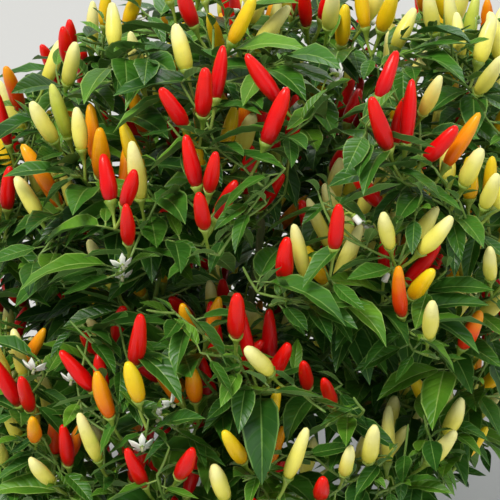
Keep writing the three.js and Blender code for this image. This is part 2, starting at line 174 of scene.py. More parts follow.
# Shapes of leaf, fruit and stalk
LEAF_ROWS = (0, 0.03, 0.17, 0.25, 0.38, 0.52, 0.68, 0.84, 1)
PETIOLE_HALF = 0.6
BLADE_HALF_THICKNESS = 0.15
LEAF_CURL = 0.22
LEAF_RIPPLE = 0.018
LEAF_QUILT = 0.22
VEINS = 8.0
VEIN_SLANT = 1.2
BALL_SHARES = (0, 0.038, 0.146, 0.309, 0.5, 0.691, 0.854, 0.962, 1)
FRUIT_PROFILE = (0, 0.56, 0.77, 0.88, 0.86, 0.76, 0.58, 0.34, 0)
FRUIT_LUMPS = 0.045
STALK_CUTS = (0.06, 0.5, 0.8, 0.87, 0.94, 0.98)
STALK_BOW = 1.2
CALYX_TOOTH = 0.5
TWIG_BOW = 0.03
TWIG_CUTS = (0.03, 0.12, 0.88, 0.97)
SWOLLEN_END = (0.6, 1.2, 1, 1, 1.25, 0.7)
BUDDED_END = (0.6, 1.2, 1, 1.1, 0.8, 0.2)
SPRAY_STEM_RADII = (2.1, 1.5)
FIRST_TWIG_RADII = (1.45, 1.2)
SECOND_TWIG_RADII = (1.25, 1.0)
FINE_TWIG_RADII = (1.0, 0.75)
SCARS_ON_LIMB = 3.3
FLOWER_RADII = (7.5, 9.5)
PETAL_POINTS = ((1, -0.5), (0.74, -0.2), (0.3, 0.02), (0.74, -0.2))
BLOSSOM_SIZES = {"flower_cups": (1.7, 1.7, 3.6), "flower_hearts": (1.2, 1.2, 3.4)}
BUD_SIZES = (2.2, (5, 7))

# Ripeness: the least that each stage takes, its slot, and its finish with roughness and the colours of root,
# middle and tip. It goes by level of node, with bands round the plant that lean with height.
STAGES = {
    "ripe_fruit": (0.55, "ripe_fruit", "fruit_red", 0.3,
                   (0.50, 0.001, 0.004), (0.80, 0.001, 0.002), (0.90, 0.008, 0.002)),
    "turning_fruit": (0.525, "orange_fruit", "fruit_turning", 0.3,
                      (0.76, 0.012, 0.002), (0.92, 0.075, 0.002), (0.96, 0.34, 0.004)),
    "orange_fruit": (0.485, "orange_fruit", "fruit_orange", 0.3,
                     (0.90, 0.13, 0.002), (0.95, 0.27, 0.002), (0.97, 0.44, 0.004)),
    "yellow_fruit": (0.385, "yellow_fruit", "fruit_golden", 0.3,
                     (0.90, 0.44, 0.004), (0.95, 0.60, 0.006), (0.97, 0.72, 0.02)),
    "pale_fruit": (0.06, "pale_fruit", "fruit_cream", 0.34,
                   (0.82, 0.74, 0.07), (0.95, 0.87, 0.15), (1.0, 0.95, 0.38)),
    "young_fruit": (-9, "pale_fruit", "fruit_green", 0.36,
                    (0.34, 0.46, 0.03), (0.54, 0.62, 0.06), (0.70, 0.74, 0.14)),
}
RIPENESS = (0, 0.62, 0.58, 0.54)
BAND_STRENGTH = 0.2
BAND_LEAN = 0.12
BAND_MIDDLE = 250
RIPENESS_SPREAD = 0.56
EDGE_PALENESS = 0.12
TOP_PALENESS = 0.12

# Patterns: scale and detail of the soft patches, and their stretch along the piece
STRETCH = (1, 1, 0.16)
LEAF_PATCHES, LEAF_SPECKS, LEAF_GRAIN = (26, 1), (240, 3), (500, 2)
FRUIT_PATCHES, FRUIT_SPECKS, FRUIT_GRAIN = (45, 1), (160, 3), (90, 2, (1, 1, 0.35))
STEM_PATCHES, STEM_CRACKS = (60, 3), (420, 3, STRETCH)

# Stage, in metres
FLOOR_SIZE = 12
FLOOR_TONE = (0.55, 0.55, 0.53)
SKY_TONE = (0.93, 0.96, 1.0)
SKY_STRENGTH = 0.46
LIGHTS = {
    "key": ((-0.9, -1.1, 1.9), 24, 2.6, (1, 0.97, 0.92)),
    "fill": ((1.3, -1.2, 0.8), 50, 0.5, (0.92, 0.96, 1)),
    "rim": ((0.5, 1.2, 1.6), 30, 0.7, (1, 1, 1)),
}
CAMERA_LENS = 108
SENSOR_WIDTH = 36
CAMERA_DISTANCE = 1.1
CAMERA_RISE = 18
CAMERA_TARGET = (0.018, -0.06, 0.276)

# Clearances, and how many stretches of growth there is room for
TRIAL_ROOM, BONE_ROOM = 1000, 40000
SPACE_GAP = 0.4
TWIG_CLEARANCE = 5
FRUIT_CLEARANCE = 0.6
LEAF_CLEARANCE = 1.6
GROUND_CLEARANCE = 20


def mix(low, high, share):
    return low + (high - low) * share


def unit(vectors):
    return vectors / norm(vectors, axis=-1, keepdims=True)


def heading(bearing):
    return np.array([math.cos(math.radians(bearing)), math.sin(math.radians(bearing)), 0.0])


def placed(reach, bearing, height):
    return heading(bearing) * reach + UP * height


def draws(seed):
    """A repeatable run of numbers from 0 to 1: each call gives the next one."""
    state = seed * 2654435761 % 2**32

    def roll():
        nonlocal state
        state = (state * 1664525 + 1013904223) % 2**32
        return state / 2**32

    return roll


def sprout(seed, which):
    return (seed * 31 + which * 7 + 11) % 1000003


def curve_point(points, share):
    """A point on the curve that these control points give, at a share of its way."""
    points = [np.asarray(p, float) for p in points]
    while len(points) > 1:
        points = [mix(a, b, share) for a, b in zip(points, points[1:])]
    return points[0]


def curve_direction(points, share):
    ahead, behind = np.minimum(1, share + 1e-4), np.maximum(0, share - 1e-4)
    return unit(curve_point(points, ahead) - curve_point(points, behind))


def frames_along(ways):
    """Two directions square to each way, so that the three are right-handed."""
    ways = unit(ways)
    level = np.cross(ways, UP)
    flat = norm(level, axis=-1, keepdims=True)
    level = np.where(flat > 1e-3, level / np.maximum(flat, 1e-9), np.array([1.0, 0.0, 0.0]))
    return level, np.cross(ways, level), ways


# The plan: limbs, spaces, twigs, fruit and leaves


def foot_on(carrier):
    """Where a limb that leaves this one's tip has its foot, sunk well in."""
    return carrier.tip - curve_direction(carrier.curve, 1) * carrier.radii[0] * LIMB_SINK


def plan_limbs():
    tip = np.array([*STEM_LEAN, STEM_HEIGHT], float)
    curve = [(0, 0, 0), (0, 0, STEM_HEIGHT * 0.3), (*STEM_LEAN, STEM_HEIGHT * 0.7), tip]
    stem = Thing(name="main_stem", curve=curve, tip=tip, radii=STEM_RADII)
    limbs = [stem]

    def add(name, carrier, away, tip, radii):
        start = foot_on(carrier)
        reach = norm(tip - start)
        curve = [start, start + away * reach * LIMB_BENDS[0], tip - UP * reach * LIMB_BENDS[1], tip]
        limbs.append(Thing(name=name, curve=curve, tip=tip, radii=radii))
        return limbs[-1]

    tip = np.array([TOP_HEART[0] * 0.7, TOP_HEART[1], LEADER_HEIGHT])
    leader = add("leader", stem, UP, tip, LEADER_RADII)
    side_boughs = []
    for i in range(MAIN_BOUGHS):
        bearing = FIRST_BEARING + i * 360 / MAIN_BOUGHS
        outwards = unit(heading(bearing) + UP * 0.5)
        tip = placed(MAIN_REACH, bearing, MAIN_HEIGHT)
        bough = add(f"main_bough_{i + 1}", stem, outwards, tip, MAIN_RADII)
        for side in (-1, 1):
            turned = bearing + side * SIDE_SPREAD
            away = unit(heading(bearing + side * SIDE_SPREAD * 1.6) + UP * 0.7)
            tip = placed(SIDE_REACH, turned, SIDE_HEIGHT)
            name = f"side_bough_{2 * i + (side + 3) // 2}"
            side_boughs.append((turned, add(name, bough, away, tip, SIDE_RADII)))
    return limbs, side_boughs, leader


def side_of(bearing):
    front, right = math.sin(math.radians(bearing)), math.cos(math.radians(bearing))
    sides = {"front": -front, "back": front, "right": right, "left": -right}
    return "_".join(word for word, share in sides.items() if share > 0.4)


def crown_middle(height):
    return CROWN_SHIFT + CROWN_LEAN * (height - CROWN_WIDEST_HEIGHT)


def plan_masses(side_boughs, leader):
    plans = []
    for level, (reach, height, turn, stagger, lift) in RINGS.items():
        for i, (bearing, bough) in enumerate(side_boughs):
            higher = -stagger if i % 2 else stagger
            heart = placed(reach - higher * HIGHER_IS_INNER, bearing + turn, height + higher)
            heart[0] += crown_middle(heart[2])
            plans.append((f"{level}_foliage_{side_of(bearing + turn)}", heart, bough, lift))
    plans.append(("top_foliage", np.array(TOP_HEART, float), leader, TOP_LIFT))
    hearts = np.array([heart for _, heart, _, _ in plans])
    masses = []
    for i, (name, heart, bough, lift) in enumerate(plans):
        start, end = foot_on(bough), mix(bough.tip, heart, STEM_SHARE)
        bend = start + curve_direction(bough.curve, 1) * norm(end - start) * 0.45
        mass = Thing(name=name, heart=heart, hearts=hearts, index=i, lift=lift, stem=[start, bend, end])
        mass.seed = FIRST_SEED + SEED_STEP * i
        mass.twigs = [[curve_point(mass.stem, k / 3) for k in range(4)]]
        mass.nodes, mass.fruits, mass.leaves, mass.fine_twigs, mass.blossoms = [], [], [], [], []
        masses.append(mass)
    return masses


def crown_tall(rise):
    return np.where(rise > 0, CROWN_TOP - CROWN_WIDEST_HEIGHT, CROWN_WIDEST_HEIGHT - CROWN_FOOT)


def crown_share(points):
    rise = points[:, 2] - CROWN_WIDEST_HEIGHT
    across = (points[:, 0] - crown_middle(points[:, 2])) / CROWN_RADIUS
    level = np.hypot(across, points[:, 1] / CROWN_RADIUS) ** CROWN_SQUARENESS
    return (level + np.abs(rise / crown_tall(rise)) ** CROWN_SQUARENESS) ** (1 / CROWN_SQUARENESS)


def in_space(points, mass, reach):
    """Whether all the points are nearer to the heart of this mass than to any other, and inside the crown."""
    points = np.asarray(points)
    if points[:, 2].min() <= GROUND_CLEARANCE or crown_share(points).max() >= reach:
        return False
    apart = norm(mass.hearts - mass.heart, axis=1)
    far = ((points[:, None] - mass.hearts) ** 2).sum(2)
    nearer = far - far[:, mass.index][:, None] - 2 * SPACE_GAP * apart
    nearer[:, mass.index] = 1
    return bool((nearer > 0).all())


def in_box(points):
    """Whether all the points are inside the solids' own box, give or take a little."""
    low, high = np.array(first_bounds) / MM
    points = np.asarray(points)
    return bool((points > low - BOX_MARGIN).all() and (points < high + BOX_MARGIN).all())


class Bones:
    """Straight stretches of what stands in the crown, each with a radius, to keep new growth clear of."""

    def __init__(self, room):
        self.start, self.end, self.radius = np.zeros((room, 3)), np.zeros((room, 3)), np.zeros(room)
        self.count = 0

    def add(self, points, radius):
        for a, b in zip(points, points[1:]):
            self.start[self.count], self.end[self.count], self.radius[self.count] = a, b, radius
            self.count += 1

    def clear(self, points, clearance):
        points = np.asarray(points)
        start, end, radius = (a[: self.count] for a in (self.start, self.end, self.radius))
        middle = points.mean(0)
        reach = norm(points - middle, axis=1).max() + clearance
        close = norm((start + end) / 2 - middle, axis=1)
        close = close < reach + radius + norm(end - start, axis=1) / 2
        start, way, radius = start[close], (end - start)[close], radius[close]
        if not len(start):
            return True
        share = ((points[:, None] - start) * way).sum(2) / (way**2).sum(1)
        nearest = start + way * np.clip(share, 0, 1)[:, :, None]
        return bool((norm(points[:, None] - nearest, axis=2) > radius + clearance).all())


def node_at(spot, along, level, turn, seed):
    return Thing(spot=spot, along=along, level=level, turn=turn, seed=seed)


def all_nodes(masses):
    return [(mass, node) for mass in masses for node in mass.nodes]


def chance_at(node, which=0):
    return draws(node.seed + 5 + which)()


def fork_directions(along, count, turn, lift, roll):
    first, second, _ = frames_along(along)
    ways = []
    for i in range(count):
        around = math.radians(turn + i * 360 / count)
        spread = math.radians(FORK_SPREAD * mix(0.75, 1.25, roll()))
        sideways = first * math.cos(around) - second * math.sin(around)
        ways.append(unit(along * math.cos(spread) + sideways * math.sin(spread) + UP * lift))
    return ways


def grow_twig(mass, twig, along, level, seed):
    """A twig ends at a node, where it forks: one new twig carries it on, the other leaves it just below."""
    roll = draws(seed)
    length = TWIG_LENGTHS[level] * mix(0.85, 1.15, roll())
    turn = roll() * 360
    start = twig[-1]
    for share in (1, 0.75, 0.5):
        tip = start + along * length * share
        points = [mix(start, tip, s) for s in (0.3, 0.55, 0.8, 1)]
        if in_space(points, mass, TWIG_REACH) and mass.bones.clear(points, TWIG_CLEARANCE):
            break
    else:
        return
    if len(twig) == 1:
        mass.twigs.append(twig)
    twig.append(tip)
    mass.nodes.append(node_at(tip, along, level + 1, turn, seed))
    if level + 1 == len(TWIG_LENGTHS):
        return
    for i, way in enumerate(fork_directions(along, 2, turn, mass.lift, roll)):
        carrier = twig if i == 0 else [tip - along * ROOT_STEP]
        grow_twig(mass, carrier, way, level + 1, sprout(seed, i))


def grow_twigs(mass):
    spot, along = mass.stem[-1], curve_direction(mass.stem, 1)
    roll = draws(mass.seed)
    turn = roll() * 360
    mass.nodes.append(node_at(spot, along, 0, turn, mass.seed))
    for i, way in enumerate(fork_directions(along, FIRST_FORK, turn, mass.lift, roll)):
        carrier = mass.twigs[0] if i == 0 else [spot - along * ROOT_STEP * 2 * i]
        grow_twig(mass, carrier, way, 0, sprout(mass.seed, i))


def outward_from(spot):
    return unit(np.array([spot[0] - CROWN_SHIFT, spot[1], 0.0]))


def fruit_from(node, attempt, which, lean):
    roll = draws(sprout(node.seed, FRUIT_SPROUT + which))
    fruit = Thing(level=node.level, root=node.spot - node.along * ROOT_STEP * 3)
    fruit.length = mix(*FRUIT_LENGTHS, roll())
    fruit.radius = mix(*FRUIT_RADII, roll())
    fruit.stalk = mix(*STALK_LENGTHS, roll())
    sideways = heading(roll() * 360 + attempt * 75)
    tilt = mix(*FRUIT_TILTS, roll()) + 0.12 * attempt
    fruit.bend = mix(*FRUIT_BENDS, roll())
    fruit.along = unit(UP + sideways * tilt + outward_from(node.spot) * lean)
    fruit.side = unit(sideways - fruit.along * (sideways @ fruit.along))
    return fruit


def fruit_line(fruit, distances, bow=0):
    """Points on the middle line of stalk and fruit at distances from the root. The stalk may be bowed."""
    distances = np.asarray(distances, float)
    past = np.maximum(0, distances - fruit.stalk) / fruit.length
    bowed = bow * np.sin(math.pi * np.clip(distances / fruit.stalk, 0, 1))
    sideways = bowed - fruit.bend * fruit.length * past**2
    return fruit.root + fruit.along * distances[:, None] + fruit.side * sideways[:, None]


def place_fruit(mass, node, which=0, finer=False):
    lean, clearance = (FINER_FRUIT_LEAN, FINER_FRUIT_CLEARANCE) if finer else (FRUIT_LEAN, FRUIT_CLEARANCE)
    for attempt in range(FINER_TRIES if finer else FRUIT_TRIES):
        fruit = fruit_from(node, attempt, which, lean)
        stalk, length, radius = fruit.stalk, fruit.length, fruit.radius
        body = [*fruit_line(fruit, [stalk + length * s for s in (0.1, 0.3, 0.5, 0.7, 0.9, 1)])]
        skin = [p + heading(b) * radius for p in body[:5] for b in (0, 90, 180, 270)]
        inside = in_space(body + skin, mass, 1) and (not finer or in_box(body + skin))
        if inside and mass.bones.clear(body, radius + clearance):
            mass.fruits.append(fruit)
            low, high = stalk + radius * 0.7, stalk + length - radius * 0.6
            mass.bones.add(fruit_line(fruit, [low, mix(low, high, 0.5), high]), radius * 0.95)
            mass.bones.add(fruit_line(fruit, [stalk * 0.3, stalk]), STALK_RADIUS)
            return


def leaf_from(node, which, attempt, finer=False):
    roll = draws(sprout(node.seed, LEAF_SPROUTS + which))
    length = mix(*LEAF_LENGTHS, roll()) * (1.05 - 0.07 * node.level) * (1 - 0.11 * attempt)
    turn = node.turn + which * (360 / LEAVES_AT_NODE[node.level]) + mix(-30, 30, roll())
    away = heading(turn + attempt * 47) + outward_from(node.spot) * 0.55
    away[2] = 0
    return Thing(
        level=node.level,
        root=node.spot - node.along * ROOT_STEP * (2 + 2 * which),
        away=unit(away),
        length=length,
        rise=mix(*LEAF_RISES, roll()) - attempt * 12,
        droop=mix(*LEAF_DROOPS, roll()) - attempt * 10 - finer * FINER_LEAF_STIFFER,
        fold=math.radians(mix(*LEAF_FOLDS, roll())),
        roll=mix(*LEAF_ROLLS, roll()) * (1 + finer),
        width=length * LEAF_WIDTH_SHARE * mix(0.9, 1.1, roll()),
        wave=roll(),
        tone=roll(),
    )


def leaf_frame(leaf, share):
    """The leaf's middle line and its own across and upward directions, at shares of its length."""
    share = np.asarray(share, float)[..., None]
    first, bend, roll = (math.radians(a) for a in (leaf.rise, -leaf.droop, leaf.roll))
    pitch = first + bend * share
    forward = leaf.length * (np.sin(pitch) - math.sin(first)) / bend
    lift = leaf.length * (math.cos(first) - np.cos(pitch)) / bend
    level = np.cross(leaf.away, UP)
    upright = UP * np.cos(pitch) - leaf.away * np.sin(pitch)
    spot = leaf.root + leaf.away * forward + UP * lift
    turned, tipped = np.cos(roll * share), np.sin(roll * share)
    return spot, level * turned + upright * tipped, upright * turned - level * tipped


def blade_share(share):
    """The share of the blade, past the stalk, at a share of the leaf's length."""
    return np.clip((np.asarray(share, float) - PETIOLE_SHARE) / (1 - PETIOLE_SHARE), 0, 1)


def half_width(leaf, share):
    def shape(x):
        return x**0.6 * (1 - x) ** (0.6 / WIDEST_SHARE - 0.6)

    return leaf.width / 2 * shape(blade_share(share)) / shape(WIDEST_SHARE)


def blade_point(leaf, share, side):
    spot, across, upwards = leaf_frame(leaf, share)
    half = half_width(leaf, share)[..., None]
    side = np.asarray(side, float)[..., None]
    lift = upwards * np.abs(side) * math.sin(leaf.fold)
    return spot + (across * side * math.cos(leaf.fold) + lift) * half


def place_leaf(mass, node, which, finer=False):
    """A finer leaf is stiffer, and may stand closer to others."""
    for attempt in range(FINER_TRIES if finer else LEAF_TRIES):
        leaf = leaf_from(node, which, attempt, finer)
        points = blade_point(leaf, BLADE_SHARES, BLADE_SIDES)
        if not in_space(points, mass, LEAF_REACH) or finer and not in_box(points):
            continue
        if mass.bones.clear(points[5:], FINER_LEAF_CLEARANCE if finer else LEAF_CLEARANCE):
            mass.leaves.append(leaf)
            thick = leaf.width * 0.12
            mass.bones.add(blade_point(leaf, [0.3, 0.625, 0.95], [0, 0, 0]), thick)
            mass.bones.add(blade_point(leaf, [0.5] * 3, [-0.75, 0, 0.75]), thick)
            return


def plan_plant():
    limbs, side_boughs, leader = plan_limbs()
    masses = plan_masses(side_boughs, leader)

    def bones_of(carried, room):
        bones = Bones(room)
        for limb in limbs:
            bones.add([curve_point(limb.curve, k / 8) for k in range(9)], limb.radii[0])
        for mass in carried:
            bones.add([curve_point(mass.stem, k / 4) for k in range(5)], MASS_STEM_RADII[0])
        return bones

    for mass in masses:
        mass.bones = bones_of([other for other in masses if other is not mass], TRIAL_ROOM)
        grow_twigs(mass)
    bones = bones_of(masses, BONE_ROOM)
    for mass in masses:
        mass.bones = bones
        for twig in mass.twigs:
            bones.add(twig, TWIG_RADIUS)
    for mass, node in all_nodes(masses):
        if node.level and chance_at(node) < FRUIT_CHANCES[node.level]:
            place_fruit(mass, node)
    for mass, node in all_nodes(masses):
        for which in range(LEAVES_AT_NODE[node.level]):
            place_leaf(mass, node, which)
    return limbs, masses


# Finer growth: short twigs, more leaves and fruit, buds and flowers, all within the same reach


def grow_fine_twigs(mass, nodes):
    """Short twigs leave each of these nodes."""
    made = []
    for node in nodes:
        roll = draws(sprout(node.seed, FINE_SPROUT))
        count = FINE_TWIGS[node.level]
        ways = fork_directions(node.along, count, node.turn + 90, mass.lift, roll)
        for i, way in enumerate(ways):
            start = node.spot - node.along * ROOT_STEP * (1.5 * i + 0.5)
            length = FINE_TWIG_LENGTH * mix(0.8, 1.25, roll())
            seed = sprout(node.seed, FINE_SPROUT + 1 + i)
            add_fine_twig(mass, start, way, length, seed, made)
    mass.nodes += made
    return made


def add_fine_twig(mass, start, way, length, seed, made):
    for share in (1, 0.7):
        tip = start + way * length * share
        points = [mix(start, tip, s) for s in (0.4, 0.7, 1)]
        in_reach = in_space(points, mass, FINE_TWIG_REACH) and in_box(points)
        if in_reach and mass.bones.clear(points, FINE_TWIG_CLEARANCE):
            made.append(node_at(tip, way, TIP_LEVEL, draws(seed + 3)() * 360, seed))
            mass.fine_twigs.append([start, tip])
            mass.bones.add([mix(start, tip, 0.2), tip], FINE_TWIG_RADIUS)
            return


def nearest_mass(spot, masses):
    return masses[np.argmin(norm(masses[0].hearts - spot, axis=1))]


def grow_outer_shoots(masses):
    """Twigs reach out to each even share of the crown's outside that has no node near it."""
    for i in range(OUTER_SHOOTS):
        rise = mix(*OUTER_RISES, (i + 0.5) / OUTER_SHOOTS)
        level = (1 - abs(rise) ** CROWN_SQUARENESS) ** (1 / CROWN_SQUARENESS)
        height = CROWN_WIDEST_HEIGHT + rise * crown_tall(rise) * OUTER_SHARE
        goal = placed(level * CROWN_RADIUS * OUTER_SHARE, GOLDEN_TURN * i, height)
        goal[0] += crown_middle(height)
        mass = nearest_mass(goal, masses)
        far = norm(np.array([node.spot for node in mass.nodes]) - goal, axis=1)
        if far.min() < OUTER_GAP:
            continue
        for nearest in np.argsort(far)[:4]:
            made = []
            node = mass.nodes[nearest]
            steps = math.ceil(far[nearest] / OUTER_STEP)
            for step in range(steps):
                seed = sprout(OUTER_SEED + i, OUTER_SPROUT + step)
                start = node.spot - node.along * ROOT_STEP * 0.5
                way = unit(goal - start + heading(draws(seed)() * 360) * 6)
                length = norm(goal - start) / (steps - step)
                add_fine_twig(mass, start, way, length, seed, made)
                if len(made) <= step:
                    break
                node = made[-1]
            mass.nodes += made
            if made:
                break


def grow_inner_twigs(masses, limbs):
    """The boughs and the sprays' own stems carry short leafy twigs too, each turned on from the last."""
    carriers = [(limb.curve, count, low) for limb, (count, low) in zip(limbs, INNER_TWIGS["limbs"])]
    carriers += [(mass.stem, *INNER_TWIGS["spray_stem"]) for mass in masses]
    for k, (curve, count, low) in enumerate(carriers):
        for i in range(count):
            share = mix(low, 0.95, (i + 0.5) / count)
            way = unit(heading(GOLDEN_TURN * (i + 3 * k)) + curve_direction(curve, share) * 0.4 + UP * 0.15)
            start = curve_point(curve, share)
            mass = nearest_mass(start + way * FINE_TWIG_LENGTH * 1.5, masses)
            seed = sprout(INNER_SEED + k, INNER_SPROUT + i)
            add_fine_twig(mass, start, way, FINE_TWIG_LENGTH * 1.15, seed, mass.nodes)


def place_blossom(mass, node):
    """A bud or an open flower nods on a thin stalk beside a young node."""
    roll = draws(sprout(node.seed, BLOSSOM_SPROUT))
    sideways = unit(heading(roll() * 360) + outward_from(node.spot) * 0.9)
    is_open = roll() < FLOWER_SHARE
    stalk = mix(*BLOSSOM_STALKS, roll())
    root = node.spot - node.along * ROOT_STEP
    top = root + UP * stalk * 0.9 + sideways * stalk * 0.25
    head = root + UP * stalk * 0.7 + sideways * stalk * 0.6
    points = [top, head, head + sideways * 3 - UP * 2]
    inside = in_space(points, mass, LEAF_REACH) and in_box([head + sideways * FLOWER_RADII[1]])
    if inside and mass.bones.clear(points, BLOSSOM_CLEARANCE):
        facing = unit(sideways - UP * mix(0.5, 1.1, roll()))
        mass.blossoms.append(Thing(curve=[root, top, head], facing=facing, open=is_open, size=roll()))
        mass.bones.add([top, head], BLOSSOM_CLEARANCE)


def place_tip_leaf(mass, node):
    """The youngest leaf of a twig, still small and half folded, stands at its very tip."""
    leaf = leaf_from(node, TIP_LEAF, 0, True)
    roll = draws(sprout(node.seed, LEAF_SPROUTS + TIP_LEAF + 1))
    leaf.length, leaf.rise = mix(*TIP_LEAF_LENGTHS, roll()), mix(*TIP_LEAF_RISES, roll())
    leaf.droop, leaf.fold = mix(*TIP_LEAF_DROOPS, roll()), math.radians(mix(*TIP_LEAF_FOLDS, roll()))
    leaf.width, leaf.tone, leaf.root = leaf.length * TIP_LEAF_WIDTH_SHARE, 1, node.spot - node.along
    points = blade_point(leaf, BLADE_SHARES, BLADE_SIDES)
    if crown_share(points).min() > TIP_LEAF_SHARE and in_space(points, mass, 1) and in_box(points):
        mass.leaves.append(leaf)


def grow_finer(masses, limbs):
    grow_inner_twigs(masses, limbs)
    grow_outer_shoots(masses)
    for mass in masses:
        made = grow_fine_twigs(mass, list(mass.nodes))
        grow_fine_twigs(mass, made)
    for mass, node in all_nodes(masses):
        plenty = np.interp(node.spot[2], *FRUIT_BY_HEIGHT)
        for which, chances in MORE_FRUIT.items():
            if chance_at(node, which) < chances[node.level] * plenty:
                place_fruit(mass, node, which, True)
        if node.level == TIP_LEVEL:
            if chance_at(node) < FRUIT_CHANCES[TIP_LEVEL] * plenty:
                place_fruit(mass, node, 0, True)
            elif chance_at(node) > 1 - BLOSSOM_CHANCE:
                place_blossom(mass, node)
    for mass, node in all_nodes(masses):
        first = LEAVES_AT_NODE[node.level]
        if node.level == TIP_LEVEL:
            place_tip_leaf(mass, node)
            first = 0
        is_inner = crown_share(node.spot[None])[0] < INNER_SHARE
        for which in range(first, first + MORE_LEAVES[node.level] + INNER_LEAVES * is_inner):
            place_leaf(mass, node, which, True)


# Shapes: each small thing is made once and carried in copies onto its places


def shape_of(bm, places):
    """The corners, faces and creases of a finished bmesh, and each corner's place in a pattern."""
    bm.verts.index_update()
    verts = np.array([v.co[:] for v in bm.verts])
    shape = Thing(
        verts=verts,
        loops=np.array([v.index for f in bm.faces for v in f.verts]),
        sizes=np.array([len(f.verts) for f in bm.faces]),
        creases=np.array([[v.index for v in e.verts] for e in bm.edges if not e.smooth]).reshape(-1, 2),
        places=places(*verts.T),
        is_back=np.array([f.material_index == 1 for f in bm.faces]),
    )
    bm.free()
    return shape


def places_around(x, y, z):
    return np.stack([np.arctan2(y, x) / math.tau + 0.5, z], 1)


def places_flat(x, y, z):
    return np.stack([x / 2 + 0.5, y], 1)


def tube_shape(sides, cuts):
    """A closed tube of radius 1 from z = 0 to z = 1, cut across at the given heights."""
    bm = bmesh.new()
    bmesh.ops.create_cone(bm, cap_ends=True, segments=sides, radius1=1, radius2=1, depth=1)
    bmesh.ops.translate(bm, verts=bm.verts, vec=(0, 0, 0.5))
    for height in cuts:
        everything = bm.verts[:] + bm.edges[:] + bm.faces[:]
        bmesh.ops.bisect_plane(bm, geom=everything, plane_co=(0, 0, height), plane_no=(0, 0, 1))
    return shape_of(bm, places_around)


def ball_shape(sides, rings):
    """A ball from z = 0 to z = 1, with its radius 1 wherever it is not at a pole."""
    bm = bmesh.new()
    bmesh.ops.create_uvsphere(bm, u_segments=sides, v_segments=rings, radius=1)
    for v in bm.verts:
        round_it = math.hypot(v.co.x, v.co.y)
        if round_it > 0.01:
            v.co.x, v.co.y = v.co.x / round_it, v.co.y / round_it
        v.co.z = (v.co.z + 1) / 2
    return shape_of(bm, places_around)


def leaf_shape():
    """A flat closed leaf: x across from -1 to 1, y along from 0 to 1, z 1 on its face and -1 on its back."""
    bm = bmesh.new()
    last = len(LEAF_ROWS) - 1
    bmesh.ops.create_grid(bm, x_segments=4, y_segments=last, size=1)
    for v in bm.verts:
        row = round((v.co.y + 1) / 2 * last)
        at_end = row in (0, last)
        v.co = (0 if at_end else v.co.x, LEAF_ROWS[row], 0 if at_end or abs(v.co.x) > 0.9 else 1)
    made = bmesh.ops.duplicate(bm, geom=bm.verts[:] + bm.edges[:] + bm.faces[:])["geom"]
    back = [part for part in made if isinstance(part, bmesh.types.BMFace)]
    bmesh.ops.reverse_faces(bm, faces=back)
    for f in back:
        f.material_index = 1
    bmesh.ops.scale(bm, verts=[part for part in made if isinstance(part, bmesh.types.BMVert)], vec=(1, 1, -1))
    bmesh.ops.remove_doubles(bm, verts=bm.verts, dist=0.0005)
    for e in bm.edges:
        on_midrib = all(abs(v.co.x) < 0.1 for v in e.verts)
        on_rim = all(v.co.z == 0 for v in e.verts)
        e.smooth = not (on_midrib or on_rim)
    return shape_of(bm, places_flat)


def flower_shape():
    """Five pointed petals round a centre, of unit radius, open towards +z."""
    bm = bmesh.new()
    bmesh.ops.create_circle(bm, cap_ends=True, cap_tris=True, segments=20, radius=1)
    rim = sorted((v for v in bm.verts if v.co.length > 0.5), key=lambda v: math.atan2(v.co.y, v.co.x))
    for i, v in enumerate(rim):
        reach, height = PETAL_POINTS[i % 4]
        v.co = (v.co.x * reach, v.co.y * reach, height)
    bmesh.ops.recalc_face_normals(bm, faces=bm.faces)
    bmesh.ops.solidify(bm, geom=bm.faces[:], thickness=0.08)
    return shape_of(bm, places_flat)


def put(name, data):
    thing = bpy.data.objects.new(name, data)
    bpy.context.scene.collection.objects.link(thing)
    return thing


def joined(name, shape, points, finishes, kinds=0, replaced=()):
    """One piece of many copies of a shape. points has each copy's corners in mm, kinds each copy's finish.
    The last finish is the back's, where the shape has one."""
    points = np.asarray(points)
    copies, corners = points.shape[:2]
    steps = np.arange(copies)[:, None]
    sizes, loops = shape.sizes, shape.loops
    mesh = bpy.data.meshes.new(name)
    mesh.vertices.add(copies * corners)
    mesh.vertices.foreach_set("co", (points * MM).ravel())
    mesh.loops.add(copies * len(loops))
    mesh.loops.foreach_set("vertex_index", (loops + steps * corners).ravel())
    mesh.polygons.add(copies * len(sizes))
    mesh.polygons.foreach_set("loop_start", (np.cumsum(sizes) - sizes + steps * len(loops)).ravel())
    mesh.polygons.foreach_set("use_smooth", np.ones(copies * len(sizes), bool))
    kinds = np.broadcast_to(np.asarray(kinds).reshape(-1, 1), (copies, 1))
    index = np.where(shape.is_back[None], len(finishes) - 1, kinds)
    mesh.polygons.foreach_set("material_index", index.ravel())
    places = np.tile(shape.places[loops], (copies, 1))
    mesh.uv_layers.new(name="places").data.foreach_set("uv", places.ravel())
    for finish in finishes:
        mesh.materials.append(finish)
    mesh.update(calc_edges=True)
    if len(shape.creases):
        total = copies * corners
        pairs = np.sort((shape.creases[None] + steps[:, :, None] * corners).reshape(-1, 2), 1)
        edges = np.zeros(len(mesh.edges) * 2, np.int32)
        mesh.edges.foreach_get("vertices", edges)
        edges = np.sort(edges.reshape(-1, 2).astype(np.int64), 1)
        mesh.edges.foreach_set("use_edge_sharp", np.isin(edges @ (total, 1), pairs @ (total, 1)))
    piece = put(name, mesh)
    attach(piece, "root")
    if replaced:
        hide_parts(*replaced)


# Carrying shapes onto their places


